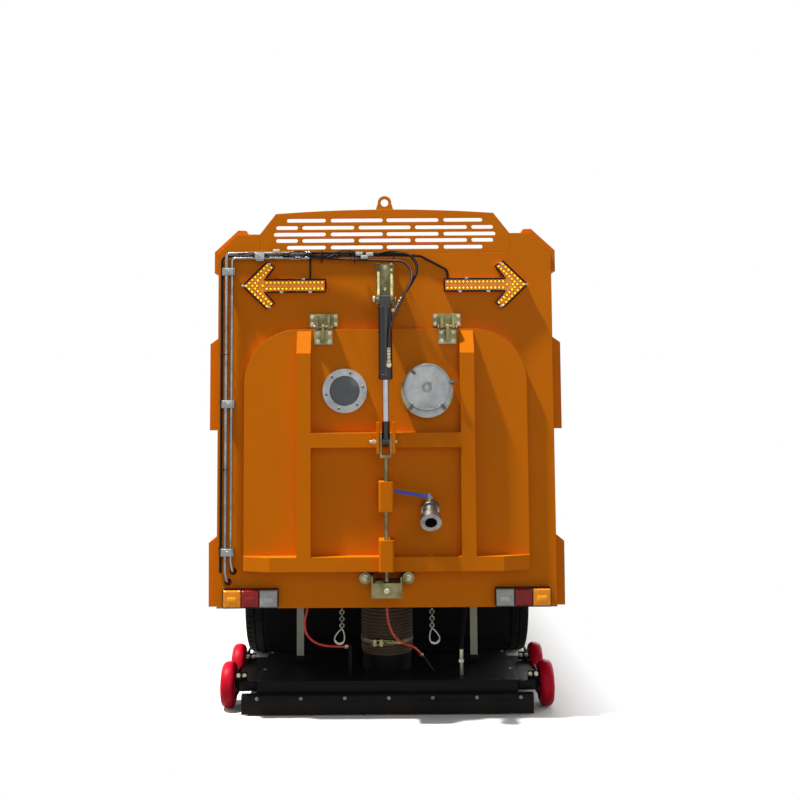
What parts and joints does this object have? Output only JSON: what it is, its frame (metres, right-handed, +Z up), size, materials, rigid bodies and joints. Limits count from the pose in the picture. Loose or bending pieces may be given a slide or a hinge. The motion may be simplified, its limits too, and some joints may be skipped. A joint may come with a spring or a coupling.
{
  "type": "truck-mounted vacuum street sweeper",
  "caption": "Two-axle cab-over truck with a box body, slotted rear fascia, top-hung ribbed rear door with cylinder, and a wheeled suction head under the tail.",
  "frame": {"origin": "on the ground under the middle of the bounding box", "axes": "+Z up, +Y is the driving direction, +X is the right-hand side"},
  "size_m": [2.66, 7.67, 3.4369],
  "materials": {
    "chassis_black": "satin black chassis paint",
    "engine_grey": "plain casting",
    "tank_metal": "satin paint",
    "orange_paint": "gloss two-pack paint",
    "tyre_rubber": "matte rubber",
    "rim_paint": "silver paint",
    "zinc_steel": "yellow-passivated zinc plating",
    "cast_aluminium": "turned face",
    "dark_glass": "tinted glass",
    "stainless": "brushed stainless",
    "hose_rubber": "matte rubber",
    "red_hose": "smooth hose",
    "black_paint": "satin black paint",
    "hard_chrome": "polished rod",
    "amber_lamp": "amber lens",
    "tail_lamp": "three-part lens",
    "head_lamp": "clear lens",
    "chain_steel": "dull zinc",
    "red_wheel": "moulded red tread",
    "bumper_grey": "grained plastic",
    "cab_trim": "woven trim"
  },
  "bodies": {
    "chassis": {"air_hose_left": "red_hose", "air_hose_middle": "red_hose", "arrow_lamps": "amber_lamp", "beacon_bar": "amber_lamp", "body_bulkheads": "orange_paint", "body_floor": "orange_paint", "body_roof": "orange_paint", "body_sides": "orange_paint", "cab_glass": "dark_glass", "cab_interior": "cab_trim", "cab_shell": "orange_paint", "chassis_frame": "chassis_black", "chassis_tanks": "tank_metal", "door_hose_lower": "hose_rubber", "door_hose_upper": "hose_rubber", "engine_block": "engine_grey", "front_axle": "chassis_black", "front_bumper": "bumper_grey", "front_grille": "black_paint", "head_hydraulic_hose": "hose_rubber", "headlamps": "head_lamp", "hydraulic_pipes": "stainless", "lamp_cable": "hose_rubber", "leaf_springs": "chassis_black", "mirrors": "black_paint", "mud_flap": "hose_rubber", "panel_ironwork": "zinc_steel", "rear_axle": "chassis_black", "rear_panel": "orange_paint", "roof_fascia": "orange_paint", "suction_hose": "hose_rubber", "tail_lamps": "tail_lamp", "tow_chains": "chain_steel"},
    "rear_door": {"rear_door": "orange_paint", "door_ports": "cast_aluminium", "sight_glass": "dark_glass", "drain_valve": "stainless", "door_ironwork": "zinc_steel"},
    "door_cylinder": {"cylinder_barrel": "black_paint"},
    "cylinder_rod": {"cylinder_rod": "hard_chrome"},
    "suction_head": {"suction_head": "chassis_black", "rubber_flap": "hose_rubber"},
    "cab_door_left": {"cab_door_left": "orange_paint", "door_glass_left": "dark_glass"},
    "cab_door_right": {"cab_door_right": "orange_paint", "door_glass_right": "dark_glass"},
    "knuckle_left": {"knuckle_left": "chassis_black"},
    "knuckle_right": {"knuckle_right": "chassis_black"},
    "wheel_front_left": {"tyre_front_left": "tyre_rubber", "rim_front_left": "rim_paint"},
    "wheel_front_right": {"tyre_front_right": "tyre_rubber", "rim_front_right": "rim_paint"},
    "wheels_rear_left": {"tyres_rear_left": "tyre_rubber", "rims_rear_left": "rim_paint"},
    "wheels_rear_right": {"tyres_rear_right": "tyre_rubber", "rims_rear_right": "rim_paint"},
    "head_wheel_rear_left": {"head_wheel_rear_left": "red_wheel"},
    "head_wheel_rear_right": {"head_wheel_rear_right": "red_wheel"},
    "head_wheel_front_left": {"head_wheel_front_left": "red_wheel"},
    "head_wheel_front_right": {"head_wheel_front_right": "red_wheel"}
  },
  "joints": [
    {"name": "rear_door_lift", "type": "hinge", "parent": "chassis", "child": "rear_door", "pos_m": [0, -3.63, 2.548], "axis": [-1, 0, 0], "range_deg": [0, 80]},
    {"name": "door_cylinder_swing", "type": "hinge", "parent": "chassis", "child": "door_cylinder", "pos_m": [0, -3.72, 2.723], "axis": [-1, 0, 0], "range_deg": [0, 72], "deforming": ["door_hose_upper", "door_hose_lower"]},
    {"name": "door_cylinder_stroke", "type": "slide", "parent": "door_cylinder", "child": "cylinder_rod", "axis": [0, 0, 1], "range_m": [0, 0.2295]},
    {"name": "suction_head_lift", "type": "slide", "parent": "chassis", "child": "suction_head", "axis": [0, 0, 1], "range_m": [0, 0.1], "deforming": ["suction_hose", "air_hose_left", "air_hose_middle", "head_hydraulic_hose"]},
    {"name": "steer_left", "type": "hinge", "parent": "chassis", "child": "knuckle_left", "pos_m": [-0.8, 2.495, 0.49], "axis": [0, 0, 1], "range_deg": [-35, 35]},
    {"name": "wheel_front_left_spin", "type": "hinge", "parent": "knuckle_left", "child": "wheel_front_left", "pos_m": [-1.002, 2.495, 0.49], "axis": [1, 0, 0], "continuous": true},
    {"name": "wheels_rear_left_spin", "type": "hinge", "parent": "chassis", "child": "wheels_rear_left", "pos_m": [-0.862, -1.705, 0.49], "axis": [1, 0, 0], "continuous": true},
    {"name": "cab_door_left_open", "type": "hinge", "parent": "chassis", "child": "cab_door_left", "pos_m": [-1.124, 3.58, 1.8], "axis": [0, 0, -1], "range_deg": [0, 65]},
    {"name": "head_wheel_rear_left_spin", "type": "hinge", "parent": "suction_head", "child": "head_wheel_rear_left", "pos_m": [-1.07, -3.275, 0.15], "axis": [1, 0, 0], "continuous": true},
    {"name": "head_wheel_front_left_spin", "type": "hinge", "parent": "suction_head", "child": "head_wheel_front_left", "pos_m": [-1.07, -2.775, 0.15], "axis": [1, 0, 0], "continuous": true},
    {"name": "steer_right", "type": "hinge", "parent": "chassis", "child": "knuckle_right", "pos_m": [0.8, 2.495, 0.49], "axis": [0, 0, 1], "range_deg": [-35, 35]},
    {"name": "wheel_front_right_spin", "type": "hinge", "parent": "knuckle_right", "child": "wheel_front_right", "pos_m": [1.002, 2.495, 0.49], "axis": [1, 0, 0], "continuous": true},
    {"name": "wheels_rear_right_spin", "type": "hinge", "parent": "chassis", "child": "wheels_rear_right", "pos_m": [0.862, -1.705, 0.49], "axis": [1, 0, 0], "continuous": true},
    {"name": "cab_door_right_open", "type": "hinge", "parent": "chassis", "child": "cab_door_right", "pos_m": [1.124, 3.58, 1.8], "axis": [0, 0, 1], "range_deg": [0, 65]},
    {"name": "head_wheel_rear_right_spin", "type": "hinge", "parent": "suction_head", "child": "head_wheel_rear_right", "pos_m": [1.07, -3.275, 0.15], "axis": [1, 0, 0], "continuous": true},
    {"name": "head_wheel_front_right_spin", "type": "hinge", "parent": "suction_head", "child": "head_wheel_front_right", "pos_m": [1.07, -2.775, 0.15], "axis": [1, 0, 0], "continuous": true}
  ],
  "couplings": [
    {"joint": "door_cylinder_swing", "follows": "rear_door_lift", "ratio": 0.896},
    {"joint": "door_cylinder_stroke", "follows": "rear_door_lift", "m_per_rad": 0.164},
    {"joint": "steer_right", "follows": "steer_left", "ratio": 1}
  ]
}
